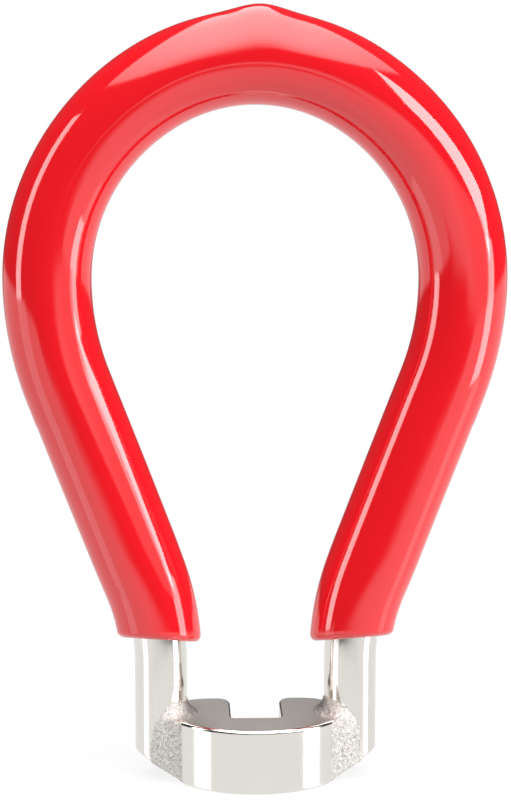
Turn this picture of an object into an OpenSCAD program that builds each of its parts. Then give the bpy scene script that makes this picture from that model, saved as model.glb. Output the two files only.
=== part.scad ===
// Spoke wrench: a slotted steel jaw block brazed between the two ends of a pear-shaped
// bow of round steel rod, with a dipped vinyl coat on the bow for the fingers.
// The nipple turns on the Z axis. The nose points to -Y, the slot opens to +Y, and the
// underside of the jaw block lies on z = 0. The bow stands in the XZ plane.

/* [Jaw block] */
// Width across the flats of the spoke nipple that the slot takes
nipple_w = 3.45; // [3.2:0.01:4.5]
// Room between the nipple and each flat of the slot
slot_clear = 0.025; // [0.01:0.005:0.1]
// Height of the jaw block along the nipple
jaw_h = 4.5; // [3:0.1:7]
// Wall between the end of the slot and the front of the nose
nose_wall = 3.65; // [2.5:0.05:5]
// Radius of the round nose, seen from above
nose_r = 6.6; // [5.5:0.1:8]
// Reach of the jaws behind the nipple axis
jaw_reach = 3.5; // [2.5:0.1:5]
// Width of the block across its rear part
jaw_w = 12; // [10.5:0.1:13]
// Radius of the two rear corners of the block
jaw_corner_r = 2.6; // [1:0.1:3]
// Radius of the slot's mouth corners
mouth_r = 0.8; // [0.3:0.05:1.2]
// Rounding of the nose's upper and lower edges
edge_r = 0.35; // [0.1:0.05:0.8]
// Slope of the bevels under the outer corners, in degrees
bevel_angle = 27; // [15:1:35]

/* [Bow] */
// Diameter of the bow's steel rod
rod_d = 3.65; // [3:0.05:4.2]
// Distance between the centres of the two rod ends
rod_span = 13.3; // [12.5:0.1:15]
// Width of the bow between rod centres, at its widest
bow_w = 28.6; // [24:0.2:34]
// Height at which the legs start to bend outward
bend_z = 8.1; // [6:0.1:10]
// Centre line radius of the outward bends
bend_r = 17.4; // [8:0.2:22]
// Slope of the straight legs from upright, in degrees
leg_angle = 21; // [16:0.5:28]
// Centre line radius where the legs turn upright
side_r = 20.5; // [10:0.5:26]
// Rise of the arch from the widest place to the top of the centre line
arch_h = 15; // [13:0.1:17]
// Turn of the arch's shoulders before the crown starts, in degrees
shoulder_angle = 60; // [40:1:66]

/* [Braze] */
// Gap between rod and groove, which the braze draws into
braze_gap = 0.05; // [0.02:0.01:0.12]
// Radius of the braze fillet between rod and nose
front_fillet_r = 3; // [1.5:0.1:4]
// Radius of the braze fillet behind the rod
rear_fillet_r = 1.5; // [0.8:0.1:2.5]
// Spread of the braze over the block's top, beyond the rod
braze_spread = 1; // [0.5:0.05:1.5]
// Climb of the braze up the rod
braze_climb = 1.3; // [0.6:0.05:2]
// Thickness of the braze at its feathered edges
braze_edge = 0.06; // [0.03:0.01:0.15]

/* [Grip coat] */
// Outside diameter of the dipped coat
grip_d = 6.1; // [5:0.1:7]
// Gap between the coat and the rod, where the primer lies
bond_gap = 0.02; // [0.01:0.005:0.05]
// Height of the dip line at the rods
dip_z = 9.7; // [8:0.1:14]
// Fall of the dip line towards the back, in degrees
dip_tilt = 14; // [0:1:20]
// Fall of the dip line towards the inside of the bow, in degrees
dip_slant = 4; // [0:1:10]
// Height of the drip that sets at the top of the bow
drip_h = 0.76; // [0.3:0.05:1.5]
// Radius of the drip's cross section
drip_r = 2.6; // [1.5:0.1:2.8]
// How much longer than wide the drip is, along the crown
drip_spread = 1.5; // [0.2:0.1:3]
// Turn of the drip to each side of its top, in degrees
drip_angle = 50; // [40:1:60]

/* [Hidden] */
$fn = 96;
// How far every cut runs past what it cuts
overrun = 1;
// Growth of the rod's diameter in its bends, and how far straight stretches run into them
bend_swell = 0.02;
bend_lap = 0.3;
// Turn between the points of the braze's hollow face, in degrees
braze_step_angle = 15;

rod_x = rod_span / 2;
rod_r = rod_d / 2;
grip_r = grip_d / 2;
groove_r = rod_r + braze_gap;

slot_w = nipple_w + 2 * slot_clear;
slot_end_y = -slot_w / 2;
nose_y = slot_end_y - nose_wall;
nose_centre_y = nose_y + nose_r;
corner_x = jaw_w / 2 - jaw_corner_r;
corner_y = jaw_reach - jaw_corner_r;
bevel_x = rod_x - rod_r;

// The straight legs are as long as the bends and the bow's width leave them
bow_x = bow_w / 2;
leg_run = bow_x - rod_x - (bend_r + side_r) * (1 - cos(leg_angle));
leg_l = leg_run / sin(leg_angle);
leg_x = rod_x + bend_r * (1 - cos(leg_angle));
leg_z = bend_z + bend_r * sin(leg_angle);
side_z = leg_z + leg_l * cos(leg_angle) + side_r * sin(leg_angle);

// Shoulders and crown are two tangent arcs that share the arch's width and rise
arch_slip = tan(shoulder_angle) - 1 / cos(shoulder_angle);
shoulder_r = (arch_h + bow_x * arch_slip) / (1 + arch_slip);
crown_r = shoulder_r - (shoulder_r - bow_x) / cos(shoulder_angle);
crown_z = side_z + (shoulder_r - crown_r) * sin(shoulder_angle);

// The drip is a short bent stretch that stands out of the crown's top
drip_bend_r = drip_r + drip_spread;
drip_z = crown_z + crown_r + grip_r + drip_h - drip_bend_r - drip_r;

// Centre of a circle of radius r3 that touches two circles from outside, to the right of
// the way from the first centre to the second
function touching_centre(c1, r1, c2, r2, r3) =
    let (way = c2 - c1,
         apart = norm(way),
         reach = r1 + r3,
         along = (reach ^ 2 - (r2 + r3) ^ 2 + apart ^ 2) / (2 * apart),
         aside = sqrt(reach ^ 2 - along ^ 2))
    c1 + way * along / apart + [way[1], -way[0]] * aside / apart;

// Space below the two sloping bevels under the outer corners
module bevel_cuts() {
    for (side = [0, 1])
        mirror([side, 0, 0])
            translate([bevel_x, -bow_w / 2, 0])
                rotate([0, -bevel_angle, 0])
                    translate([-overrun, 0, -jaw_h])
                        cube([bow_w, bow_w, jaw_h]);
}

// The block's plan as a prism of a given height, with round rear corners, drawn in by an inset
module jaw_plan(h, inset) {
    corner_r = jaw_corner_r - inset;
    plan_x = corner_x + corner_r;
    front_y = nose_y - overrun;
    translate([-plan_x, front_y, 0])
        cube([2 * plan_x, corner_y - front_y, h]);
    translate([-corner_x, front_y, 0])
        cube([2 * corner_x, corner_y + corner_r - front_y, h]);
    for (side = [-1, 1])
        translate([side * corner_x, corner_y, 0])
            cylinder(r = corner_r, h = h);
}

// Half section of the nose, with round upper and lower edges
module nose_profile() {
    square([nose_r - edge_r, jaw_h]);
    translate([0, edge_r])
        square([nose_r, jaw_h - 2 * edge_r]);
    for (z = [edge_r, jaw_h - edge_r])
        translate([nose_r - edge_r, z])
            circle(r = edge_r);
}

// The slot with its flats, end wall and rounded mouth
module nipple_slot() {
    mouth_y = jaw_reach - mouth_r;
    translate([-slot_w / 2, slot_end_y, -overrun])
        cube([slot_w, jaw_reach - slot_end_y + overrun, jaw_h + 2 * overrun]);
    for (side = [0, 1])
        mirror([side, 0, 0])
            difference() {
                translate([0, mouth_y, -overrun])
                    cube([slot_w / 2 + mouth_r, mouth_r + overrun, jaw_h + 2 * overrun]);
                translate([slot_w / 2 + mouth_r, mouth_y, -2 * overrun])
                    cylinder(r = mouth_r, h = jaw_h + 4 * overrun);
            }
}

// The rod's upright legs, bends, straight legs, shoulders and crown, at a given diameter.
// Bends and crown are a hair thicker, and the stretches between run a short lap into them.
module bow_tube(d) {
    bend_d = d + bend_swell;
    lap_angle = bend_lap / shoulder_r * 180 / PI;
    for (side = [0, 1])
        mirror([side, 0, 0]) {
            translate([rod_x, 0, 0])
                cylinder(d = d, h = bend_z + bend_lap);
            tube_arc(rod_x + bend_r, bend_z, bend_r, 180 - leg_angle, leg_angle, bend_d);
            translate([leg_x, 0, leg_z])
                rotate([0, leg_angle, 0])
                    translate([0, 0, -bend_lap])
                        cylinder(d = d, h = leg_l + 2 * bend_lap);
            tube_arc(bow_x - side_r, side_z, side_r, -leg_angle, leg_angle, bend_d);
            tube_arc(bow_x - shoulder_r, side_z, shoulder_r, -lap_angle,
                     shoulder_angle + 2 * lap_angle, d);
        }
    tube_arc(0, crown_z, crown_r, shoulder_angle, 180 - 2 * shoulder_angle, bend_d);
}

// One bend of the tube in the XZ plane about a centre, from a start angle through a turn
module tube_arc(x, z, r, start, turn, d) {
    translate([x, 0, z])
        rotate([90, 0, 0])
            rotate([0, 0, start])
                rotate_extrude(angle = turn)
                    translate([r, 0])
                        circle(d = d);
}

// Space below the dip line, which slopes to the back and to the inside of each leg
module below_dip_line() {
    for (side = [0, 1])
        mirror([side, 0, 0])
            translate([rod_x, 0, dip_z])
                rotate([-dip_tilt, -dip_slant, 0])
                    translate([-rod_x, -bow_w / 2, -2 * dip_z])
                        cube([bow_w, bow_w, 2 * dip_z]);
}

// Hollow web of braze in the valley between two round walls, to the right of the way from
// the first wall's centre to the second's, drawn in by an inset
module braze_web(centre_1, r_1, centre_2, r_2, fillet_r, h, inset) {
    fillet_centre = touching_centre(centre_1, r_1, centre_2, r_2, fillet_r);
    difference() {
        linear_extrude(h)
            polygon([centre_1, centre_2, fillet_centre]);
        post(fillet_centre, fillet_r - braze_edge + inset, h);
    }
}

// Round upright cut that runs past both ends of a given height
module post(centre, r, h) {
    translate([centre[0], centre[1], -overrun])
        cylinder(r = r, h = h + 2 * overrun);
}

// The webs in front of the right rod and behind it
module braze_webs(h, inset) {
    rod_centre = [rod_x, 0];
    braze_web([0, nose_centre_y], nose_r, rod_centre, rod_r, front_fillet_r, h, inset);
    braze_web(rod_centre, rod_r, [corner_x, corner_y], jaw_corner_r, rear_fillet_r, h, inset);
}

// Braze round the right rod: a plug that the block and the rod trim to a film in the groove,
// under a hollow collar
module braze_collar() {
    collar_r = rod_r + braze_edge;
    collar_z = jaw_h + braze_edge;
    hollow = [for (turn = [0 : braze_step_angle : 90])
        [collar_r + braze_spread * (1 - sin(turn)), collar_z + braze_climb * (1 - cos(turn))]];
    translate([rod_x, 0, 0])
        rotate_extrude()
            polygon(concat([[0, braze_edge], [collar_r + braze_spread, braze_edge]],
                           hollow,
                           [[0, collar_z + braze_climb]]));
}

// The block with its rod grooves, before slot and bevels
module grooved_jaw() {
    difference() {
        intersection() {
            jaw_plan(jaw_h, 0);
            translate([0, nose_centre_y, 0])
                rotate_extrude()
                    nose_profile();
        }
        for (side = [-1, 1])
            post([side * rod_x, 0], groove_r, jaw_h);
    }
}

// Ground on which the right collar stands: block and webs, drawn in by the braze's edge
module braze_ground(h) {
    intersection() {
        jaw_plan(h, braze_edge);
        post([0, nose_centre_y], nose_r - braze_edge, h);
    }
    braze_webs(h, braze_edge);
}

// Braze of the right joint, laid on the block and the webs
module braze_joint() {
    braze_top = jaw_h + braze_edge + braze_climb;
    difference() {
        union() {
            translate([0, 0, braze_edge])
                braze_webs(jaw_h - 2 * braze_edge, 0);
            intersection() {
                braze_collar();
                braze_ground(braze_top);
            }
        }
        post([rod_x, 0], rod_r, braze_top);
        grooved_jaw();
        bevel_cuts();
    }
}

module jaw_block() {
    color("silver")
        difference() {
            grooved_jaw();
            nipple_slot();
            bevel_cuts();
        }
}

module handle_bow() {
    color("gainsboro")
        difference() {
            bow_tube(rod_d);
            bevel_cuts();
        }
}

module braze_left() {
    color("darkgray")
        mirror([1, 0, 0])
            braze_joint();
}

module braze_right() {
    color("darkgray")
        braze_joint();
}

module grip_coat() {
    color("crimson")
        difference() {
            union() {
                bow_tube(grip_d);
                tube_arc(0, drip_z, drip_bend_r, 90 - drip_angle, 2 * drip_angle, 2 * drip_r);
            }
            bow_tube(rod_d + 2 * bond_gap);
            below_dip_line();
        }
}

jaw_block();
handle_bow();
braze_left();
braze_right();
grip_coat();
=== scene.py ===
"""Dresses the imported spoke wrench: steel bow, slotted jaw, braze, dipped vinyl coat, studio."""

import math

import bmesh
import bpy
import numpy as np
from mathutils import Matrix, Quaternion, Vector, noise


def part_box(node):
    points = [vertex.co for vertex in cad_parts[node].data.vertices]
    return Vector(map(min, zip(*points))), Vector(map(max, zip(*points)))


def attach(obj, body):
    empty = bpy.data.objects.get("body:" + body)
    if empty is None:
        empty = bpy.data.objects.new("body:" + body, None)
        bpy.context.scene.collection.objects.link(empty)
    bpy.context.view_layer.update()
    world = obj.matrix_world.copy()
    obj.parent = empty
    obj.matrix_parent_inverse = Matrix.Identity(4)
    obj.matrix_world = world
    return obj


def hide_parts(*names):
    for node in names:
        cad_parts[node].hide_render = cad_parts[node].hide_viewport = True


bl_info = {
    "name": "Spoke wrench",
    "version": (1, 0, 0),
    "blender": (4, 5, 0),
    "location": "View3D > Sidebar > Spoke wrench",
    "description": "Builds the visible pieces of a dipped spoke wrench around its CAD frame",
    "category": "Object",
}

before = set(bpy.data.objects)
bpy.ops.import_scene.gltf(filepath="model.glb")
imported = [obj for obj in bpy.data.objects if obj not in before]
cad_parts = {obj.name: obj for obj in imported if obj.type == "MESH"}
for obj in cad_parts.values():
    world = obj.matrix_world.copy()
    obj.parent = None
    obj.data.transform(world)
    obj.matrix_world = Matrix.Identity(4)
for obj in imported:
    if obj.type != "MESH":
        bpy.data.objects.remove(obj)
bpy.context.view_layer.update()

MM = 0.001
JAW_LOW, JAW_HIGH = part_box("jaw_block")
BOW_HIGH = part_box("handle_bow")[1]
COAT_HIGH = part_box("grip_coat")[1]
BACK = Vector((0, 1, 0))
QUARTER_TURN, HALF_TURN, FULL_TURN = math.pi / 2, math.pi, 2 * math.pi
SHARP_ANGLE = math.radians(42)

# Tones, grain sizes, gloss changes and bump depths of the finishes; the braze's darker tone is
# painted shade in its grain's hollows
VINYL_TONES, PLATE_TONES, BRAZE_PAINTED_SHADE_TONES = (0.94, 1.05), (0.97, 1.02), (0.26, 1.0)
VINYL_RUBBED, PLATE_PITTED, BRAZE_PAINTED_SHADE_RAMP = (0.55, 0.8), (0.72, 0.85), (0.34, 0.58)
VINYL_PATCHY, PLATE_PATCHY, BRAZE_PATCHY = 0.02, 0.05, 0.15
RUB_DULL, PIT_DULL, PIT_DEPTH = 0.03, 0.08, 0.25
VINYL_CLOUD, VINYL_RUB, VINYL_SKIN = 6 * MM, 1.1 * MM, 0.9 * MM
PLATE_CLOUD, PLATE_PIT = 1.6 * MM, 0.12 * MM
ROD_LAY, JAW_LAY, GROUND_LAY = 2.2 * MM, 3 * MM, 0.3 * MM
BRAZE_CLOUD, BRAZE_PEBBLE = 0.5 * MM, 0.068 * MM
VINYL_BUMP, PLATE_BUMP, BRAZE_BUMP = 0.002 * MM, 0.004 * MM, 0.06 * MM
VINYL_IOR = 1.8

# Upright softboxes: bearings and elevations in degrees, level, share of that level
STRIPS = {
    "strip_right": ((62, 82), (-22, 4.5), "strip_level", 0.6),
    "strip_right_low": ((72, 92), (-34, -22), "low_level", 1.0),
    "strip_left": ((-84, -69), (-8, 37), "strip_level", 0.62),
    "strip_left_low": ((-82, -58), (-35, -8), "low_level", 1.0),
}
SENSOR_H = 36


def length(name, description, default):
    """A length property in metres."""
    return bpy.props.FloatProperty(
        name=name, description=description, default=default, unit="LENGTH", precision=5)


def angle(name, description, degrees):
    """An angle property, given in degrees."""
    return bpy.props.FloatProperty(
        name=name, description=description, default=math.radians(degrees), subtype="ANGLE")


def share(name, description, default):
    """A plain number between nothing and all."""
    return bpy.props.FloatProperty(
        name=name, description=description, default=default, min=0, max=1, subtype="FACTOR")


def level(name, description, default):
    """A light level, where 1 is white."""
    return bpy.props.FloatProperty(name=name, description=description, default=default, min=0)


def colour(name, description, default):
    """A colour property, linear."""
    return bpy.props.FloatVectorProperty(
        name=name, description=description, default=default, size=3, min=0, max=1,
        subtype="COLOR")


class BowSizes(bpy.types.PropertyGroup):
    """Sizes of the bent rod and of the braze on it"""

    rod_d: length("Rod diameter", "Diameter of the bow's steel rod", 3.65 * MM)
    rod_span: length("Rod span", "Distance between the rod ends' centres", 13.3 * MM)
    bend_z: length("Bend height", "Height at which the legs start to bend", 8.1 * MM)
    bend_r: length("Bend radius", "Centre line radius of the outward bends", 17.4 * MM)
    leg_angle: angle("Leg slope", "Slope of the straight legs from upright", 21)
    side_r: length("Side radius", "Centre line radius where the legs turn upright", 20.5 * MM)
    arch_h: length("Arch height", "Rise from the widest place to the top", 15 * MM)
    shoulder_angle: angle("Shoulder turn", "Turn of the shoulders before the crown", 60)
    rim_r: length("End rounding", "Rounding of the rod's lower rims", 0.45 * MM)
    bevel_angle: angle("Bevel", "Slope of the bevels under the outer corners", 27)
    web_reach: length("Web reach", "Reach of the braze along the nose's wall", 1.6 * MM)
    web_climb: length("Web climb", "Reach of the braze round the rod's front", 1.8 * MM)
    web_taper: share("Web taper", "Share of that reach that is lost up to the block's top", 0.35)
    collar_reach: length("Collar reach", "Reach of the braze over the block's top", 1.0 * MM)
    collar_climb: length("Collar climb", "Climb of the braze up the rod", 1.8 * MM)
    braze_grid: length("Braze grid", "Grid step of the braze's surface", 0.07 * MM)
    braze_grain: length("Braze grain", "Height of the braze's grain", 0.035 * MM)


class JawSizes(bpy.types.PropertyGroup):
    """Sizes of the slotted jaw block"""

    slot_w: length("Slot width", "Distance between the slot's flats", 3.5 * MM)
    nose_r: length("Nose radius", "Radius of the round nose, seen from above", 6.6 * MM)
    corner_r: length("Corner radius", "Radius of the rear corners", 2.6 * MM)
    mouth_r: length("Mouth lead", "Width of the slot's rounded mouth corners", 0.8 * MM)
    mouth_l: length("Mouth depth", "Depth of the slot's rounded mouth corners", 1.4 * MM)
    slot_corner_r: length("Slot corner", "Radius of the slot's inner corners", 0.3 * MM)
    groove_gap: length("Groove gap", "Gap between rod and groove", 0.05 * MM)
    nose_edge_r: length("Nose edge", "Rounding of the nose's edges", 0.22 * MM)
    slot_edge_r: length("Slot edge", "Rounding of the slot's and rear edges", 0.12 * MM)


class CoatSizes(bpy.types.PropertyGroup):
    """Sizes of the dipped coat"""

    bond_gap: length("Bond gap", "Gap between coat and rod", 0.02 * MM)
    end_d: length("End diameter", "Diameter of the coat at its ends", 5.8 * MM)
    end_l: length("End taper", "Length over which the coat reaches its full diameter", 7 * MM)
    rim_r: length("Rim rounding", "Rounding of the coat's ends", 0.5 * MM)
    dip_z: length("Dip line", "Height of the coat's ends at the rods", 9.7 * MM)
    dip_tilt: angle("Dip tilt", "Fall of the dip line to the back", 14)
    dip_slant: angle("Dip slant", "Fall of the dip line to the inside", 4)
    swell_h: length("Crown swell", "Extra thickness along the crown's outside", 0.3 * MM)
    swell_l: length("Crown swell length", "Half length of the crown's swell", 10 * MM)
    drip_x: length("Drip offset", "Distance of the set drip from the middle", 0.36 * MM)
    drip_l: length("Drip length", "Half length of the set drip at the top", 1.9 * MM)
    wave_h: length("Waviness", "Height of the slow waves in the vinyl", 0.03 * MM)
    wave_l: length("Wave length", "Length of the slow waves in the vinyl", 9 * MM)


class WrenchFinish(bpy.types.PropertyGroup):
    """Colours and gloss of the wrench"""

    vinyl: colour("Vinyl", "Red of the dipped vinyl", (0.72, 0.008, 0.0145))
    vinyl_rough: share("Vinyl roughness", "Roughness of the vinyl's skin", 0.07)
    nickel: colour("Nickel", "Colour of the nickel plate", (0.83, 0.795, 0.75))
    nickel_rough: share("Nickel roughness", "Roughness of the polished plate", 0.11)
    ground: colour("Ground face", "Colour of the dull plate on the ground top",
                   (0.76, 0.707, 0.67))
    ground_rough: share("Ground roughness", "Roughness of the ground top face", 0.395)
    braze_rough: share("Braze roughness", "Roughness of the plated braze", 0.3)


class StudioSettings(bpy.types.PropertyGroup):
    """Camera and light of the studio"""

    distance: length("Camera distance", "Distance from camera to wrench", 180 * MM)
    look_z: length("Look height", "Height that the camera looks at", 26.69 * MM)
    pitch: angle("Camera pitch", "How far the camera looks down", 8.7)
    yaw: angle("Camera yaw", "How far the camera stands to the right", -2)
    lens: bpy.props.FloatProperty(
        name="Lens", description="Focal length in mm for the sensor's height", default=116.9)
    floor_size: length("Floor size", "Side of the floor", 20.0)
    strip_far: length("Strip distance", "Distance of the side softboxes", 600 * MM)
    box_bearing: angle("Box bearing", "Bearing of the rolled softbox on the right", 60.4)
    box_rise: angle("Box elevation", "Elevation of the rolled softbox", 22.4)
    box_width: angle("Box width", "Angle that the rolled softbox spans along it", 44)
    box_height: angle("Box height", "Angle that the rolled softbox spans across it", 24)
    box_roll: angle("Box roll", "Roll of that softbox on its axis", -40)
    card_bearing: angle("Card bearing", "Bearing of the pale card beside the camera", 24)
    card_far: length("Card distance", "Distance of the pale card", 110 * MM)
    card_left: length("Card left", "Reach of the pale card to the left", 85 * MM)
    card_right: length("Card right", "Reach of the pale card to the right", 100 * MM)
    card_corner: length("Card corner", "Place of the pale card's left corner", -14 * MM)
    card_h: length("Card height", "Height of the pale card's upper edge", 47 * MM)
    card_z: length("Card foot", "Height of the pale card's lower edge", 10 * MM)
    card_low: length("Card low end", "Height of the lower edge at its left end", 27 * MM)
    card_slope: share("Card slope", "Slope of the card's upper left edge", 0.63)
    card_fall: share("Card fall", "Fall of the card's lower edge to the right", 0.21)
    card_soft: length("Card edge", "Softness of the card's edges", 5 * MM)
    card_level: level("Card level", "Radiance of the pale card at its left", 0.92)
    card_fade: share("Card fade", "How far the card dims to its right", 0.35)
    near_x: length("Near card place", "Distance of the near card from the middle", 8 * MM)
    near_y: length("Near card distance", "Distance of the near card in front", 20 * MM)
    near_z: length("Near card foot", "Height of the near card's lower edge", 32.5 * MM)
    near_w: length("Near card width", "Width of the near card", 18 * MM)
    near_h: length("Near card height", "Height of the near card", 13.5 * MM)
    near_soft: length("Near card edge", "Softness of the near card's edges", 3 * MM)
    near_level: level("Near card level", "Radiance of the near card", 0.85)
    sheet_r: length("Sheet radius", "Reach of the white sheet before the wrench", 66 * MM)
    sheet_w: length("Sheet width", "Half width of the white sheet at the nose", 4 * MM)
    sheet_flare: level("Sheet flare", "Growth of that half width towards the camera", 1.25)
    strip_level: level("Strip level", "Radiance of the brightest softbox", 7)
    low_level: level("Low strip level", "Radiance of the softboxes' lower ends", 0.6)
    ceiling_level: level("Ceiling level", "Radiance of the overhead softbox", 3.6)
    room_level: level("Room level", "Radiance of the dim room", 0.04)
    back_level: level("Backdrop level", "Radiance of the backdrop behind the wrench", 0.08)
    ground_level: level("Ground level", "Radiance of the pale ground near the horizon", 0.9)
    ground_rise: level("Ground rise", "How much brighter the ground is straight below", 0.15)


# Bow's centre line

class BowLine:
    """Centre line of the bow in the XZ plane, from the right rod end over the top to the left."""

    def __init__(self, bow):
        rod_x = bow.rod_span / 2
        bow_x = BOW_HIGH.x - bow.rod_d / 2
        turn, shoulder = bow.leg_angle, bow.shoulder_angle
        leg_run = bow_x - rod_x - (bow.bend_r + bow.side_r) * (1 - math.cos(turn))
        leg_l = leg_run / math.sin(turn)
        leg_start = Vector((rod_x + bow.bend_r * (1 - math.cos(turn)),
                            bow.bend_z + bow.bend_r * math.sin(turn)))
        leg_way = Vector((math.sin(turn), math.cos(turn)))
        side_z = (leg_start + leg_way * leg_l).y + bow.side_r * math.sin(turn)
        slip = math.tan(shoulder) - 1 / math.cos(shoulder)
        shoulder_r = (bow.arch_h + bow_x * slip) / (1 + slip)
        crown_r = shoulder_r - (shoulder_r - bow_x) / math.cos(shoulder)
        crown_z = side_z + (shoulder_r - crown_r) * math.sin(shoulder)
        self.stretches = [
            self.straight(Vector((rod_x, 0)), Vector((0, 1)), bow.bend_z),
            self.arc((rod_x + bow.bend_r, bow.bend_z), bow.bend_r, HALF_TURN, HALF_TURN - turn),
            self.straight(leg_start, leg_way, leg_l),
            self.arc((bow_x - bow.side_r, side_z), bow.side_r, -turn, 0),
            self.arc((bow_x - shoulder_r, side_z), shoulder_r, 0, shoulder),
            self.arc((0, crown_z), crown_r, shoulder, QUARTER_TURN),
        ]
        self.half = sum(stretch[0] for stretch in self.stretches)
        self.total = 2 * self.half

    @staticmethod
    def straight(start, way, run):
        return run, lambda s: (start + way * s, way)

    @staticmethod
    def arc(centre, radius, begin, end):
        sense = math.copysign(1, end - begin)

        def at(s):
            turn = begin + sense * s / radius
            ray = Vector((math.cos(turn), math.sin(turn)))
            return Vector(centre) + ray * radius, Vector((-ray.y, ray.x)) * sense

        return abs(end - begin) * radius, at

    def at(self, s):
        """Place, outward normal and tangent at a way along the line, as 3-D vectors."""
        left = s > self.half
        rest = self.total - s if left else s
        for run, place in self.stretches[:-1]:
            if rest < run:
                break
            rest -= run
        else:
            run, place = self.stretches[-1]
        spot, way = place(rest)
        if left:
            spot, way = Vector((-spot.x, spot.y)), Vector((way.x, -way.y))
        return (Vector((spot.x, 0, spot.y)), Vector((way.y, 0, -way.x)),
                Vector((way.x, 0, way.y)))


def spaced(start, end, step):
    """Even stations from start to end, both included."""
    count = max(1, round(abs(end - start) / step))
    return [start + (end - start) * i / count for i in range(count + 1)]


def loft(name, rings, closed):
    """A mesh through rings of equal count: a closed loop of rings, or a row with end caps."""
    sides = len(rings[0])
    points = [p for ring in rings for p in ring]
    faces = []
    for i in range(len(rings) if closed else len(rings) - 1):
        low, high = i * sides, (i + 1) % len(rings) * sides
        for j in range(sides):
            k = (j + 1) % sides
            faces.append((low + j, low + k, high + k, high + j))
    if not closed:
        faces.append(tuple(reversed(range(sides))))
        faces.append(tuple(range(len(points) - sides, len(points))))
    mesh = bpy.data.meshes.new(name)
    mesh.from_pydata(points, [], faces)
    return mesh


def piece(name, mesh, node, materials):
    """Puts a finished mesh in the scene as a piece that stands for a CAD node."""
    fix = bmesh.new()
    fix.from_mesh(mesh)
    bmesh.ops.recalc_face_normals(fix, faces=fix.faces)
    fix.to_mesh(mesh)
    fix.free()
    mesh.shade_smooth()
    mesh.set_sharp_from_angle(angle=SHARP_ANGLE)
    for material in materials:
        mesh.materials.append(material)
    obj = bpy.data.objects.new(name, mesh)
    bpy.context.scene.collection.objects.link(obj)
    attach(obj, "root")
    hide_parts(node)


# Shader maths

class Wire:
    """An output socket that takes part in sums; each sum adds a Math node."""

    def __init__(self, shader, socket):
        self.shader = shader
        self.socket = socket

    def sum(self, operation, first, second):
        return self.shader.add("ShaderNodeMath", {"operation": operation}, {0: first, 1: second})

    def __add__(self, other):
        return self.sum("ADD", self, other)

    def __sub__(self, other):
        return self.sum("SUBTRACT", self, other)

    def __mul__(self, other):
        return self.sum("MULTIPLY", self, other)

    def __rsub__(self, other):
        return self.sum("SUBTRACT", other, self)

    def __truediv__(self, other):
        return self.sum("DIVIDE", self, other)

    def __rtruediv__(self, other):
        return self.sum("DIVIDE", other, self)

    __radd__ = __add__
    __rmul__ = __mul__


class Shader:
    """The node tree of a material or a world."""

    def __init__(self, owner):
        owner.use_nodes = True
        self.tree = owner.node_tree
        self.tree.nodes.clear()

    def add(self, kind, settings, inputs, output=0):
        """Adds one node, sets it up, feeds its sockets and gives one of its outputs, if any."""
        node = self.tree.nodes.new(kind)
        for name, value in settings.items():
            setattr(node, name, value)
        for name, value in inputs.items():
            if isinstance(value, Wire):
                self.tree.links.new(value.socket, node.inputs[name])
            else:
                node.inputs[name].default_value = value
        return None if output is None else Wire(self, node.outputs[output])

    def place(self):
        """Place on the piece, in metres."""
        return self.add("ShaderNodeTexCoord", {}, {}, "Object")

    def grain(self, place, size, detail=2.0, rough=0.5):
        """Noise of a given grain size, from 0 to 1."""
        return self.add("ShaderNodeTexNoise", {}, {
            "Vector": place, "Scale": 1 / size, "Detail": detail, "Roughness": rough})

    def ramp(self, value, low, high, low_out=0.0, high_out=1.0):
        """Smooth step of a value from low to high."""
        return self.add("ShaderNodeMapRange", {"interpolation_type": "SMOOTHSTEP"}, {
            "Value": value, "From Min": low, "From Max": high,
            "To Min": low_out, "To Max": high_out})

    def blend(self, share_of_second, first, second):
        """Colour between two colours."""
        return self.add("ShaderNodeMix", {"data_type": "RGBA"}, {
            0: share_of_second, 6: first, 7: second}, 2)

    def tones(self, lightness, rgb, gains):
        """Colour between a darker and a lighter tone of one colour."""
        return self.blend(lightness, *(opaque(rgb, gain) for gain in gains))

    def bump(self, height, depth):
        """Normal that a height map of a given depth in metres makes."""
        return self.add("ShaderNodeBump", {}, {"Height": height, "Distance": depth})

    def parts(self, vector, axes):
        """Coordinates of a vector along the named axes."""
        return [self.add("ShaderNodeSeparateXYZ", {}, {"Vector": vector}, axis) for axis in axes]

    def far(self, vector):
        """Length of a vector."""
        return self.add("ShaderNodeVectorMath", {"operation": "LENGTH"}, {0: vector}, "Value")

    def plain(self, value):
        """A value without its sign."""
        return self.add("ShaderNodeMath", {"operation": "ABSOLUTE"}, {0: value})

    def mix(self, factor, first, second):
        """One shader over another."""
        return self.add("ShaderNodeMixShader", {}, {0: factor, 1: first, 2: second})

    def show(self, surface, kind="ShaderNodeOutputMaterial"):
        """Links a shader to the output."""
        self.add(kind, {}, {"Surface": surface}, None)


def opaque(rgb, gain=1.0):
    """A colour with full alpha, lighter or darker by a gain."""
    return tuple(min(1.0, c * gain) for c in rgb) + (1.0,)


def finish_material(name, build):
    """A material whose Principled inputs come from build(shader)."""
    material = bpy.data.materials.new(name)
    shader = Shader(material)
    shader.show(shader.add("ShaderNodeBsdfPrincipled", {}, build(shader)))
    return material


def red_vinyl(finish):
    """Glossy dipped vinyl: nearly even red, with faint clouds, handling marks and skin."""

    def build(shader):
        place = shader.place()
        cloud = shader.grain(place, VINYL_CLOUD)
        rub = shader.ramp(shader.grain(place, VINYL_RUB, 5.0, 0.65), *VINYL_RUBBED)
        skin = shader.grain(place, VINYL_SKIN, 3.0)
        return {
            "Base Color": shader.tones(cloud, finish.vinyl, VINYL_TONES),
            "Roughness": finish.vinyl_rough + (cloud - 0.5) * VINYL_PATCHY + rub * RUB_DULL,
            "IOR": VINYL_IOR,
            "Normal": shader.bump(skin, VINYL_BUMP),
        }

    return finish_material("red_vinyl", build)


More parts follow.
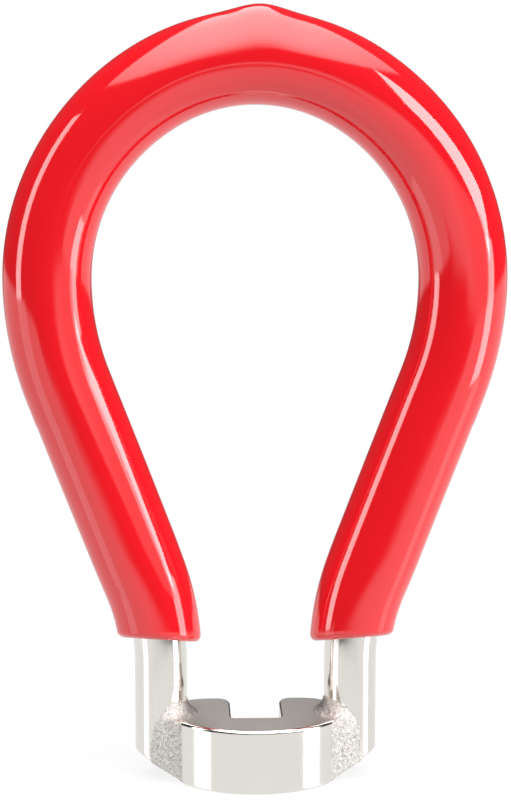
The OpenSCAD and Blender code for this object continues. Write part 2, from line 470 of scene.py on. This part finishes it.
def plated_steel(name, tone, rough, lay_size):
    """Nickel plate over polished steel, with faint clouds and fine pits."""

    def build(shader):
        place = shader.place()
        cloud = shader.grain(place, PLATE_CLOUD, 4.0)
        pit = shader.ramp(shader.grain(place, PLATE_PIT, 2.0), *PLATE_PITTED)
        lay = shader.grain(place, lay_size, 3.0, 0.6)
        return {
            "Base Color": shader.tones(cloud, tone, PLATE_TONES),
            "Metallic": 1.0,
            "Roughness": rough + (cloud - 0.5) * PLATE_PATCHY + pit * PIT_DULL,
            "Normal": shader.bump(lay - pit * PIT_DEPTH, PLATE_BUMP),
        }

    return finish_material(name, build)


def plated_braze(finish):
    """Grainy plated braze that glitters, with painted shade that darkens its colour in the grain's
    hollows.
    """

    def build(shader):
        place = shader.place()
        grain = shader.grain(place, BRAZE_PEBBLE, 2.0, 0.7)
        # Painted shade: the colour is darkest where the grain is low, in its hollows
        raised = shader.ramp(grain, *BRAZE_PAINTED_SHADE_RAMP)
        cloud = shader.grain(place, BRAZE_CLOUD, 3.0)
        return {
            "Base Color": shader.tones(raised, finish.nickel, BRAZE_PAINTED_SHADE_TONES),
            "Metallic": 1.0,
            "Roughness": finish.braze_rough + (cloud - 0.5) * BRAZE_PATCHY,
            "Normal": shader.bump(grain, BRAZE_BUMP),
        }

    return finish_material("plated_braze", build)


# Pieces

class WRENCH_OT_steel_bow(bpy.types.Operator):
    """Bends the steel rod into the bow, with bevelled and rounded lower ends"""

    bl_idname = "wrench.steel_bow"
    bl_label = "Steel bow"
    SIDES = 64
    FADE = 6 * MM
    END_PARTS = (0.02, 0.35, 0.6)
    RIM_STEP = math.pi / 12
    FINE_L, FINE_STEP, STEP = 10 * MM, 0.25 * MM, 0.6 * MM

    def ring(self, bow, line, way, radius):
        """Ring at a way from the nearer rod end, slanted there by the bevel."""
        rod_r = bow.rod_d / 2
        rest = min(way, line.total - way)
        centre, out, along = line.at(way)
        up = along if way < line.half else -along
        fade = max(0, 1 - rest / self.FADE) ** 2
        ring = []
        for i in range(self.SIDES):
            turn = FULL_TURN * i / self.SIDES
            ray = out * math.cos(turn) + BACK * math.sin(turn)
            lift = math.tan(bow.bevel_angle) * (rod_r + radius * math.cos(turn))
            ring.append(centre + ray * radius + up * lift * fade)
        return ring

    def execute(self, context):
        bow = context.scene.wrench_bow
        line = BowLine(bow)
        rod_r, rim = bow.rod_d / 2, bow.rim_r
        end = [(0, rod_r * part) for part in self.END_PARTS]
        for turn in spaced(0, QUARTER_TURN, self.RIM_STEP):
            end.append((rim * (1 - math.cos(turn)), rod_r - rim * (1 - math.sin(turn))))
        end += [(way, rod_r) for way in spaced(rim, self.FINE_L, self.FINE_STEP)[1:]]
        middle = spaced(self.FINE_L, line.total - self.FINE_L, self.STEP)[1:-1]
        rings = [self.ring(bow, line, way, radius) for way, radius in end]
        rings += [self.ring(bow, line, way, rod_r) for way in middle]
        rings += [self.ring(bow, line, line.total - way, radius) for way, radius in reversed(end)]
        finish = context.scene.wrench_finish
        piece("steel_bow", loft("steel_bow", rings, closed=False), "handle_bow",
              [plated_steel("nickel_rod", finish.nickel, finish.nickel_rough, ROD_LAY)])
        return {"FINISHED"}


class WRENCH_OT_vinyl_coat(bpy.types.Operator):
    """Lofts the dipped coat, with tapered slanted ends, a swollen crown and a set drip"""

    bl_idname = "wrench.vinyl_coat"
    bl_label = "Vinyl coat"
    SIDES = 72
    FADE = 6 * MM
    RIM_STEP = math.pi / 14
    END_STEP, SKIN_STEP, BORE_STEP = 0.25 * MM, 0.3 * MM, 0.6 * MM
    WAVE_ROOM = 0.01 * MM

    def swell(self, coat, x):
        """Extra thickness of the crown's outside at a place across the bow."""
        drip_h = COAT_HIGH.z - self.apex_z - self.grip_r - coat.swell_h
        return (coat.swell_h * math.exp(-(x / coat.swell_l) ** 2)
                + drip_h * math.exp(-((x - coat.drip_x) / coat.drip_l) ** 2))

    def ring(self, coat, line, way, rest, radius, crown):
        """Ring at a way along the line, a rest from the nearer coat end."""
        centre, out, along = line.at(way)
        up = along if way < line.half else -along
        fade = max(0, 1 - rest / self.FADE) ** 2
        lean = Vector((abs(up.x), up.z))
        slant, tilt = math.tan(coat.dip_slant) + lean.x, math.tan(coat.dip_tilt)
        ring = []
        for i in range(self.SIDES):
            turn = FULL_TURN * i / self.SIDES
            outside, behind = math.cos(turn), math.sin(turn)
            ray = out * outside + BACK * behind
            reach = radius
            if crown:
                spot = centre + ray * radius
                reach += coat.wave_h * noise.noise(spot / coat.wave_l) * (1 - fade)
                if spot.z > self.apex_z / 2:
                    reach += self.swell(coat, spot.x) * max(0, outside) ** 2
            shift = slant * outside - tilt * behind
            ring.append(centre + ray * reach + up * (radius * shift / lean.y * fade))
        return ring

    def execute(self, context):
        scene = context.scene
        bow, coat = scene.wrench_bow, scene.wrench_coat
        line = BowLine(bow)
        self.grip_r = COAT_HIGH.y - self.WAVE_ROOM
        self.apex_z = line.at(line.half)[0].z
        bore_r = bow.rod_d / 2 + coat.bond_gap
        end_r, rim = coat.end_d / 2, coat.rim_r
        start = bow.bend_z + bow.bend_r * math.asin((coat.dip_z - bow.bend_z) / bow.bend_r)

        def skin(rest):
            t = min(1, rest / coat.end_l)
            return end_r + (self.grip_r - end_r) * t * t * (3 - 2 * t)

        end = []
        for turn in spaced(0, QUARTER_TURN, self.RIM_STEP):
            rest = rim * (1 - math.cos(turn))
            end.append((rest, skin(rest) - rim * (1 - math.sin(turn))))
        end += [(rest, skin(rest)) for rest in spaced(rim, coat.end_l, self.END_STEP)[1:]]
        full = start + coat.end_l
        middle = spaced(full, line.total - full, self.SKIN_STEP)[1:-1]
        rings = [self.ring(coat, line, start + rest, rest, r, True) for rest, r in end]
        rings += [self.ring(coat, line, way, coat.end_l, self.grip_r, True) for way in middle]
        rings += [self.ring(coat, line, line.total - start - rest, rest, r, True)
                  for rest, r in reversed(end)]
        for way in spaced(line.total - start, start, self.BORE_STEP):
            rest = min(way, line.total - way) - start
            rings.append(self.ring(coat, line, way, rest, bore_r, False))
        piece("vinyl_coat", loft("vinyl_coat", rings, closed=True), "grip_coat",
              [red_vinyl(scene.wrench_finish)])
        return {"FINISHED"}


def circles_meet(centre_1, r_1, centre_2, r_2, left):
    """Meeting point of two circles, to the left or right of the way between their centres."""
    way = centre_2 - centre_1
    apart = way.length
    along = (r_1 ** 2 - r_2 ** 2 + apart ** 2) / (2 * apart)
    aside = math.sqrt(r_1 ** 2 - along ** 2) * (1 if left else -1)
    return centre_1 + way / apart * along + Vector((-way.y, way.x)) / apart * aside


def arc_points(centre, start, end, step, clockwise=False):
    """Points on an arc about a centre from one point to another, both included."""
    ray_1, ray_2 = start - centre, end - centre
    begin, stop = math.atan2(ray_1.y, ray_1.x), math.atan2(ray_2.y, ray_2.x)
    turn = (begin - stop if clockwise else stop - begin) % FULL_TURN
    sense = -1 if clockwise else 1
    radius = ray_1.length
    return [centre + Vector((math.cos(begin + sense * t), math.sin(begin + sense * t))) * radius
            for t in spaced(0, turn, step / radius)]


class WRENCH_OT_steel_jaw(bpy.types.Operator):
    """Shapes the slotted jaw block, with rounded edges and bevels below"""

    bl_idname = "wrench.steel_jaw"
    bl_label = "Steel jaw"
    STEP = 0.15 * MM
    MOUTH_STEP, EDGE_STEP = math.pi / 24, math.pi / 16
    FLAT_FROM, FLAT_TO = 1.2, 2.0
    MITRE_LIMIT = 0.3
    LEVEL_NORMAL = 0.999

    def half_outline(self, bow, jaw):
        """Right half of the plan, from the nose's front to the slot's end, with edge radii."""
        groove_r = bow.rod_d / 2 + jaw.groove_gap
        rod = Vector((bow.rod_span / 2, 0))
        nose = Vector((0, JAW_LOW.y + jaw.nose_r))
        corner = Vector((JAW_HIGH.x - jaw.corner_r, JAW_HIGH.y - jaw.corner_r))
        mouth = Vector((jaw.slot_w / 2 + jaw.mouth_r, JAW_HIGH.y - jaw.mouth_l))
        inner = Vector((jaw.slot_w / 2 - jaw.slot_corner_r, jaw.slot_corner_r - jaw.slot_w / 2))
        front = circles_meet(nose, jaw.nose_r, rod, groove_r, left=False)
        rear = circles_meet(corner, jaw.corner_r, rod, groove_r, left=True)
        tip = Vector((0, JAW_LOW.y))
        back = corner + Vector((0, jaw.corner_r))
        plan = [(p, jaw.nose_edge_r) for p in arc_points(nose, tip, front, self.STEP)]
        plan += [(p, jaw.slot_edge_r)
                 for p in arc_points(rod, front, rear, self.STEP, clockwise=True)[1:]]
        plan += [(p, jaw.slot_edge_r) for p in arc_points(corner, rear, back, self.STEP)[1:]]
        for turn in spaced(QUARTER_TURN, HALF_TURN, self.MOUTH_STEP):
            lead = Vector((jaw.mouth_r * math.cos(turn), jaw.mouth_l * math.sin(turn)))
            plan.append((mouth + lead, jaw.slot_edge_r))
        plan += [(p, jaw.slot_edge_r) for p in arc_points(
            inner, inner + Vector((jaw.slot_corner_r, 0)), inner - Vector((0, jaw.slot_corner_r)),
            self.STEP / 2, clockwise=True)]
        return plan

    def execute(self, context):
        scene = context.scene
        bow, jaw = scene.wrench_bow, scene.wrench_jaw
        right = self.half_outline(bow, jaw)
        left = [(Vector((-p.x, p.y)), edge) for p, edge in reversed(right[1:])]
        plan = right + left
        count = len(plan)
        inward = []
        for i, (spot, _) in enumerate(plan):
            before = (spot - plan[i - 1][0]).normalized()
            after = (plan[(i + 1) % count][0] - spot).normalized()
            n_1, n_2 = Vector((-before.y, before.x)), Vector((-after.y, after.x))
            inward.append((n_1 + n_2) / max(self.MITRE_LIMIT, 1 + n_1.dot(n_2)))

        def ring(draw, z_share, top):
            """Ring of the block, drawn in and raised by shares of each edge's rounding."""
            points = []
            for (spot, edge), way in zip(plan, inward):
                flat = spot + way * (edge * draw)
                rise = edge * z_share
                points.append((flat.x, flat.y, JAW_HIGH.z - rise if top else rise))
            return points

        near, far = self.FLAT_FROM, self.FLAT_TO
        profile = [(far, 0), (near, 0)]
        profile += [(1 - math.sin(t), 1 - math.cos(t))
                    for t in spaced(0, QUARTER_TURN, self.EDGE_STEP)]
        profile += [(0, near), (0, far)]
        rings = [ring(draw, z_share, False) for draw, z_share in profile]
        rings += [ring(draw, z_share, True) for draw, z_share in reversed(profile)]
        mesh = loft("steel_jaw", rings, closed=False)
        cut = bmesh.new()
        cut.from_mesh(mesh)
        bevel_x = (bow.rod_span - bow.rod_d) / 2
        slope = bow.bevel_angle
        for side in (-1, 1):
            made = bmesh.ops.bisect_plane(
                cut, geom=cut.verts[:] + cut.edges[:] + cut.faces[:],
                plane_co=(side * bevel_x, 0, 0),
                plane_no=(side * math.sin(slope), 0, -math.cos(slope)), clear_outer=True)
            edges = [e for e in made["geom_cut"] if isinstance(e, bmesh.types.BMEdge)]
            bmesh.ops.holes_fill(cut, edges=edges)
        cut.to_mesh(mesh)
        cut.free()
        for face in mesh.polygons:
            flat = abs(face.normal.z) > self.LEVEL_NORMAL
            face.material_index = 1 if flat and face.center.z > JAW_HIGH.z / 2 else 0
        finish = scene.wrench_finish
        piece("steel_jaw", mesh, "jaw_block", [
            plated_steel("nickel_jaw", finish.nickel, finish.nickel_rough, JAW_LAY),
            plated_steel("nickel_ground", finish.ground, finish.ground_rough, GROUND_LAY)])
        return {"FINISHED"}


def surface_net(field, origin, step):
    """Closed quad mesh where a grid of signed distances crosses zero."""
    inside = field < 0
    corners = [(i, j, k) for i in (0, 1) for j in (0, 1) for k in (0, 1)]
    shape = [n - 1 for n in field.shape]

    def corner(values, c):
        return values[c[0]:c[0] + shape[0], c[1]:c[1] + shape[1], c[2]:c[2] + shape[2]]

    filled = sum(corner(inside, c).astype(int) for c in corners)
    mixed = (filled > 0) & (filled < len(corners))
    place = np.zeros(shape + [3])
    hits = np.zeros(shape)
    for a in corners:
        for axis in range(3):
            if a[axis]:
                continue
            b = tuple(1 if n == axis else v for n, v in enumerate(a))
            f_a, f_b = corner(field, a), corner(field, b)
            crosses = (f_a < 0) != (f_b < 0)
            gap = np.where(crosses, f_a - f_b, 1)
            t = np.where(crosses, f_a / gap, 0)
            for n in range(3):
                place[..., n] += np.where(crosses, a[n] + (t if n == axis else 0), 0)
            hits += crosses
    cells = np.argwhere(mixed)
    points = (cells + place[mixed] / hits[mixed][:, None]) * step + np.array(origin)
    number = np.full(shape, -1)
    number[mixed] = np.arange(len(cells))
    faces = []
    for axis in range(3):
        u, v = (axis + 1) % 3, (axis + 2) % 3
        low = [slice(1, n) for n in shape]
        low[axis] = slice(0, shape[axis])
        high = list(low)
        high[axis] = slice(1, shape[axis] + 1)
        near, far = inside[tuple(low)], inside[tuple(high)]
        for at in np.argwhere(near != far):
            cell = at + 1
            cell[axis] -= 1
            quad = []
            for du, dv in ((1, 1), (0, 1), (0, 0), (1, 0)):
                c = cell.copy()
                c[u] -= du
                c[v] -= dv
                quad.append(int(number[tuple(c)]))
            faces.append(quad if near[tuple(at)] else quad[::-1])
    return points, faces


class WRENCH_OT_braze(bpy.types.Operator):
    """Lays the grainy braze between rods and block, with hollow fillets and a collar"""

    bl_idname = "wrench.braze"
    bl_label = "Braze"
    GRAIN_SEED = 1
    LAP = 0.04 * MM
    FEATHER = 0.012 * MM
    RIPPLE = 0.02
    RIPPLE_LS = (0.07 * MM, 0.15 * MM, 0.08 * MM, 0.13 * MM)
    TAPER_POWER = 4
    CORNER_PART = 10
    SPREAD_IN, SPREAD_FRONT, SPREAD_BACK, SPREAD_UP = 3.6 * MM, 4.6 * MM, 4.2 * MM, 2.2 * MM
    GRAIN_L = 0.2 * MM
    CALM_L = 0.2 * MM

    def ripple(self, x, y, z):
        """Uneven share by which the braze spreads."""
        a, b, c, d = self.RIPPLE_LS
        return 1 + self.RIPPLE * (np.sin(x / a + 2 * np.sin(z / b))
                                  + np.sin(z / c + 2 * np.sin(y / d)))

    def field(self, bow, jaw, x, y, z):
        """Signed distance of the right braze, negative inside it."""
        rod = np.hypot(x - bow.rod_span / 2, y) - bow.rod_d / 2
        nose = np.hypot(x, y - (JAW_LOW.y + jaw.nose_r)) - jaw.nose_r
        corner_x, corner_y = JAW_HIGH.x - jaw.corner_r, JAW_HIGH.y - jaw.corner_r
        rear = np.hypot(np.maximum(x - corner_x, 0), np.maximum(y - corner_y, 0)) - jaw.corner_r
        walls = np.maximum(nose, rear)
        top = z - JAW_HIGH.z
        edge = jaw.nose_edge_r
        block = (np.minimum(np.maximum(walls + edge, top + edge), 0)
                 + np.hypot(np.maximum(walls + edge, 0), np.maximum(top + edge, 0)) - edge)
        wave = self.ripple(x, y, z)
        above = np.clip((top - walls) / edge + 0.5, 0, 1)
        reach = (bow.web_reach + (bow.collar_reach - bow.web_reach) * above) * wave
        aside, over = np.maximum(walls, 0), np.maximum(top, 0)
        steep = over / (np.hypot(aside, over) + edge / self.CORNER_PART)
        height = np.clip(z / JAW_HIGH.z, 0, 1)
        web_climb = bow.web_climb * (1 - bow.web_taper * height ** self.TAPER_POWER)
        climb = wave / (np.sqrt(1 - steep ** 2) / web_climb + steep / bow.collar_climb)
        plain = np.minimum(rod, block)
        filled = np.hypot(np.maximum(1 - rod / reach, 0), np.maximum(1 - block / climb, 0))
        hollow = np.where(filled > 0, (1 - filled) * np.minimum(reach, climb), plain)
        added = plain - hollow
        bevel_x = (bow.rod_span - bow.rod_d) / 2
        bevel = (math.tan(bow.bevel_angle) * (x - bevel_x) - z) * math.cos(bow.bevel_angle)
        return np.maximum.reduce([hollow, self.FEATHER - added, -rod - self.LAP,
                                  -block - self.LAP, bevel])

    def execute(self, context):
        scene = context.scene
        bow, jaw = scene.wrench_bow, scene.wrench_jaw
        step = bow.braze_grid
        rod_x, rod_r = bow.rod_span / 2, bow.rod_d / 2
        low = (rod_x - self.SPREAD_IN, -self.SPREAD_FRONT, -2 * step)
        high = (rod_x + rod_r, self.SPREAD_BACK, JAW_HIGH.z + self.SPREAD_UP)
        axes = [np.arange(a, b, step) for a, b in zip(low, high)]
        x, y, z = np.meshgrid(*axes, indexing="ij")
        points, faces = surface_net(self.field(bow, jaw, x, y, z), low, step)
        rough = []
        noise.seed_set(self.GRAIN_SEED)
        for p in points:
            spot = Vector(p)
            rise = noise.noise_vector(spot / self.GRAIN_L) * bow.braze_grain
            off_rod = math.hypot(spot.x - rod_x, spot.y) - rod_r
            rough.append(spot + rise * max(0, min(1, off_rod / self.CALM_L)))
        material = plated_braze(scene.wrench_finish)
        for name, node, side in (("braze_fillet_right", "braze_right", 1),
                                 ("braze_fillet_left", "braze_left", -1)):
            mesh = bpy.data.meshes.new(name)
            mesh.from_pydata([(side * p.x, p.y, p.z) for p in rough], [], faces)
            piece(name, mesh, node, [material])
        return {"FINISHED"}


class WRENCH_OT_stage(bpy.types.Operator):
    """Sets the white floor, the surround, the soft lights and the camera"""

    bl_idname = "wrench.stage"
    bl_label = "Stage"
    FLOOR_WHITE, FLOOR_ROUGH = 0.9, 0.25
    SHADOW_NEAR, SHADOW_FAR, SHADOW_COVER = 20 * MM, 70 * MM, 0.8
    # Ground's edge: its dip below the horizon, its lean to the back, and its softness by bearing
    GROUND_DIP, GROUND_LEAN = 0.11, 0.08
    GROUND_AHEAD, GROUND_ASIDE = 0.42, 0.58
    GROUND_SOFT, GROUND_CRISP = 0.22, 0.04
    GROUND_NEAR, GROUND_BELOW = -0.3, -0.85
    # Overhead softbox on a plane above the wrench, in units of that plane's height
    CEILING_BACK, CEILING_END = 1.05, 1.2
    CEILING_HALF, CEILING_TAPER, CEILING_SKEW = 0.98, 0.2, 0.25
    CEILING_BOW, CEILING_PINCH = 0.32, 0.42
    CEILING_SOFT, CEILING_CRISP = 0.07, 0.05
    CEILING_BRIGHT, CEILING_FRONT, CEILING_DIM = -0.3, -3.8, 0.05
    CEILING_MIDDLE, CEILING_SIDE, CEILING_FADE = 0.15, 1.05, 0.45
    BACKDROP_FULL = 0.9
    SHEET_DROP, SHEET_EDGE = 0.1 * MM, 1 * MM
    CLIP = 10 * MM

    def floor(self, studio):
        """White floor that keeps a soft shadow near the wrench and is clear from below."""
        half = studio.floor_size / 2
        mesh = bpy.data.meshes.new("floor")
        mesh.from_pydata([(-half, -half, 0), (half, -half, 0), (half, half, 0), (-half, half, 0)],
                         [], [(0, 1, 2, 3)])
        material = bpy.data.materials.new("white_floor")
        shader = Shader(material)
        far = shader.far(shader.place())
        seen = shader.add("ShaderNodeLightPath", {}, {}, "Is Camera Ray")
        lit = shader.add("ShaderNodeBsdfPrincipled", {}, {
            "Base Color": opaque([self.FLOOR_WHITE] * 3), "Roughness": self.FLOOR_ROUGH})
        white = shader.add("ShaderNodeEmission", {}, {"Color": opaque([1] * 3), "Strength": 1.0})
        cover = seen * shader.ramp(far, self.SHADOW_NEAR, self.SHADOW_FAR, self.SHADOW_COVER)
        below = shader.add("ShaderNodeNewGeometry", {}, {}, "Backfacing")
        clear = shader.add("ShaderNodeBsdfTransparent", {}, {})
        shader.show(shader.mix(below, shader.mix(cover, lit, white), clear))
        mesh.materials.append(material)
        obj = bpy.data.objects.new("floor", mesh)
        obj.visible_diffuse = obj.visible_glossy = obj.visible_shadow = False
        bpy.context.scene.collection.objects.link(obj)

    def ceiling(self, shader, east, behind, rise):
        """Share of the overhead softbox in a direction: arrow-shaped, brightest at its back."""
        side, along = east / rise, behind / rise
        across = shader.plain(side)
        skew = along - side * self.CEILING_SKEW
        width = self.CEILING_HALF + skew * self.CEILING_TAPER - across
        waist = self.CEILING_BOW - (skew + self.CEILING_PINCH) * across
        return (shader.ramp(rise, 0.0, self.CEILING_CRISP)
                * shader.ramp(along, self.CEILING_END, self.CEILING_BACK)
                * shader.ramp(width, 0.0, self.CEILING_SOFT)
                * shader.ramp(waist, 0.0, self.CEILING_CRISP)
                * shader.ramp(along, self.CEILING_FRONT, self.CEILING_BRIGHT, self.CEILING_DIM)
                * shader.ramp(across, self.CEILING_MIDDLE, self.CEILING_SIDE,
                              1.0, self.CEILING_FADE))

    def surround(self, studio):
        """World: white to the camera, and a dim room with a pale ground to all other rays."""
        world = bpy.data.worlds.new("studio")
        bpy.context.scene.world = world
        shader = Shader(world)
        east, behind, rise = shader.parts(
            shader.add("ShaderNodeTexCoord", {}, {}, "Generated"), "XYZ")
        seen = sum(shader.add("ShaderNodeLightPath", {}, {}, kind)
                   for kind in ("Is Camera Ray", "Is Transmission Ray"))
        soft = shader.ramp(shader.plain(east), self.GROUND_AHEAD, self.GROUND_ASIDE,
                           self.GROUND_SOFT, self.GROUND_CRISP)
        ground = shader.ramp((behind * self.GROUND_LEAN - rise - self.GROUND_DIP) / soft, 0.0, 1.0)
        below = shader.ramp(rise, self.GROUND_NEAR, self.GROUND_BELOW) * studio.ground_rise
        ceiling = self.ceiling(shader, east, behind, rise)
        lit = ground * (studio.ground_level + below) + ceiling * studio.ceiling_level
        room = shader.ramp(behind, 0.0, self.BACKDROP_FULL, studio.room_level, studio.back_level)
        dim = (1 - ground) * room
        shown = seen + (1 - seen) * (lit + dim)
        shader.show(shader.add("ShaderNodeBackground", {}, {"Color": shown, "Strength": 1.0}),
                    "ShaderNodeOutputWorld")

    def reflector(self, name, corners, radiance, place, turn, mask):
        """Pale sheet with soft edges that only reflections show."""
        mesh = bpy.data.meshes.new(name)
        mesh.from_pydata(corners, [], [(0, 1, 2, 3)])
        material = bpy.data.materials.new(name)
        shader = Shader(material)
        clear = shader.add("ShaderNodeBsdfTransparent", {}, {})
        white = shader.add("ShaderNodeEmission", {}, {"Strength": radiance})
        shader.show(shader.mix(mask(shader), clear, white))
        mesh.materials.append(material)
        obj = bpy.data.objects.new(name, mesh)
        obj.location, obj.rotation_euler = place, (0, 0, turn)
        obj.visible_camera = obj.visible_diffuse = obj.visible_shadow = False
        bpy.context.scene.collection.objects.link(obj)

    def card(self, studio):
        """Pale card close by, beside the camera, slanted on its left and dimmer to its right."""
        left, right, high = -studio.card_left, studio.card_right, studio.card_h
        edge = studio.card_soft

        def mask(shader):
            x, z = shader.parts(shader.place(), "XZ")
            corner = studio.card_corner
            foot = studio.card_low - (x - left) * studio.card_fall
            return (shader.ramp((x - corner) * studio.card_slope + high - z, -edge, edge)
                    * shader.ramp(high - z, -edge, edge)
                    * shader.ramp(z - foot, -edge, edge)
                    * shader.ramp(x, 2 * corner, -2 * corner, 1.0, 1 - studio.card_fade))

        turn, far = studio.card_bearing, studio.card_far
        top = high + edge
        self.reflector("card", [(left, 0, 0), (right, 0, 0), (right, 0, top), (left, 0, top)],
                       studio.card_level,
                       (far * math.sin(turn), -far * math.cos(turn), studio.card_z), turn, mask)

    def near_card(self, studio):
        """Small pale card close before the right shoulder."""
        half, high, edge = studio.near_w / 2, studio.near_h, studio.near_soft

        def mask(shader):
            x, z = shader.parts(shader.place(), "XZ")
            return (shader.ramp(half - shader.plain(x), 0.0, edge) * shader.ramp(z, 0.0, edge)
                    * shader.ramp(high - z, 0.0, edge))

        corners = [(-half, 0, 0), (half, 0, 0), (half, 0, high), (-half, 0, high)]
        self.reflector("near_card", corners, studio.near_level,
                       (studio.near_x, -studio.near_y, studio.near_z), 0, mask)

    def sheet(self, studio):
        """White sheet on the floor close before the wrench, wider towards the camera."""
        half = studio.sheet_r

        def mask(shader):
            place = shader.place()
            x, y = shader.parts(place, "XY")
            sector = studio.sheet_w + (JAW_LOW.y - y) * studio.sheet_flare - shader.plain(x)
            return (shader.ramp(shader.far(place), half, half / 2)
                    * shader.ramp(sector, -self.SHEET_EDGE, self.SHEET_EDGE))

        corners = [(-half, -half, 0), (half, -half, 0), (half, half, 0), (-half, half, 0)]
        self.reflector("sheet", corners, studio.ground_level, (0, 0, -self.SHEET_DROP), 0, mask)

    def lamp(self, name, place, aim, width, height, roll, radiance):
        """A rectangular lamp of even radiance that faces a point."""
        lamp = bpy.data.lights.new(name, "AREA")
        lamp.shape = "RECTANGLE"
        lamp.size, lamp.size_y = width, height
        lamp.energy = radiance * math.pi * width * height
        obj = bpy.data.objects.new(name, lamp)
        obj.location = place
        facing = (Vector(place) - Vector(aim)).to_track_quat("Z", "Y")
        obj.rotation_euler = (facing @ Quaternion((0, 0, 1), roll)).to_euler()
        obj.visible_camera = False
        bpy.context.scene.collection.objects.link(obj)

    def strip(self, name, studio, bearings, rises, radiance):
        """An upright softbox between two bearings from the camera's side and two elevations."""
        begin, end = (math.radians(b) for b in bearings)
        far = studio.strip_far
        low, high = (studio.look_z + far * math.tan(math.radians(r)) for r in rises)
        bearing, z = (begin + end) / 2, (low + high) / 2
        self.lamp(name, (far * math.sin(bearing), -far * math.cos(bearing), z), (0, 0, z),
                  2 * far * math.tan((end - begin) / 2), high - low, 0, radiance)

    def box(self, studio):
        """The large softbox on the right, rolled on its axis."""
        bearing, rise, far = studio.box_bearing, studio.box_rise, studio.strip_far
        width, height = (2 * far * math.tan(a / 2) for a in (studio.box_width, studio.box_height))
        aim = Vector((0, 0, studio.look_z))
        way = Vector((math.sin(bearing) * math.cos(rise), -math.cos(bearing) * math.cos(rise),
                      math.sin(rise)))
        self.lamp("box_right", aim + way * far, aim, width, height, studio.box_roll,
                  studio.strip_level)

    def camera(self, scene, studio):
        """The camera, which stands before the nose and looks down a little."""
        lens = bpy.data.cameras.new("camera")
        lens.lens = studio.lens
        lens.sensor_fit = "VERTICAL"
        lens.sensor_height = SENSOR_H
        lens.clip_start = self.CLIP
        camera = bpy.data.objects.new("camera", lens)
        away = studio.distance * math.cos(studio.pitch)
        camera.location = (away * math.sin(studio.yaw), -away * math.cos(studio.yaw),
                           studio.look_z + studio.distance * math.sin(studio.pitch))
        camera.rotation_euler = (QUARTER_TURN - studio.pitch, 0, studio.yaw)
        scene.collection.objects.link(camera)
        scene.camera = camera

    def execute(self, context):
        scene = context.scene
        studio = scene.wrench_studio
        self.floor(studio)
        self.surround(studio)
        self.card(studio)
        self.near_card(studio)
        self.sheet(studio)
        for name, (bearings, rises, source, part) in STRIPS.items():
            self.strip(name, studio, bearings, rises, part * getattr(studio, source))
        self.box(studio)
        self.camera(scene, studio)
        scene.view_settings.view_transform = "Standard"
        return {"FINISHED"}


class WRENCH_PT_pieces(bpy.types.Panel):
    """Lists the wrench's pieces, its sizes and its finish"""

    bl_label = "Spoke wrench"
    bl_idname = "WRENCH_PT_pieces"
    bl_space_type = "VIEW_3D"
    bl_region_type = "UI"
    bl_category = "Spoke wrench"

    def draw(self, context):
        for operator in OPERATORS:
            self.layout.operator(operator.bl_idname)
        for group in GROUPS:
            box = self.layout.box()
            values = getattr(context.scene, group)
            for name in values.__annotations__:
                box.prop(values, name)


GROUPS = {
    "wrench_bow": BowSizes,
    "wrench_jaw": JawSizes,
    "wrench_coat": CoatSizes,
    "wrench_finish": WrenchFinish,
    "wrench_studio": StudioSettings,
}
OPERATORS = (WRENCH_OT_steel_bow, WRENCH_OT_steel_jaw, WRENCH_OT_braze, WRENCH_OT_vinyl_coat,
             WRENCH_OT_stage)


def register():
    for name, group in GROUPS.items():
        bpy.utils.register_class(group)
        setattr(bpy.types.Scene, name, bpy.props.PointerProperty(type=group))
    for operator in OPERATORS:
        bpy.utils.register_class(operator)
    bpy.utils.register_class(WRENCH_PT_pieces)


def unregister():
    bpy.utils.unregister_class(WRENCH_PT_pieces)
    for operator in reversed(OPERATORS):
        bpy.utils.unregister_class(operator)
    for name, group in reversed(GROUPS.items()):
        delattr(bpy.types.Scene, name)
        bpy.utils.unregister_class(group)


def main():
    register()
    bpy.ops.wrench.steel_bow()
    bpy.ops.wrench.steel_jaw()
    bpy.ops.wrench.braze()
    bpy.ops.wrench.vinyl_coat()
    bpy.ops.wrench.stage()


if __name__ == "__main__":
    main()
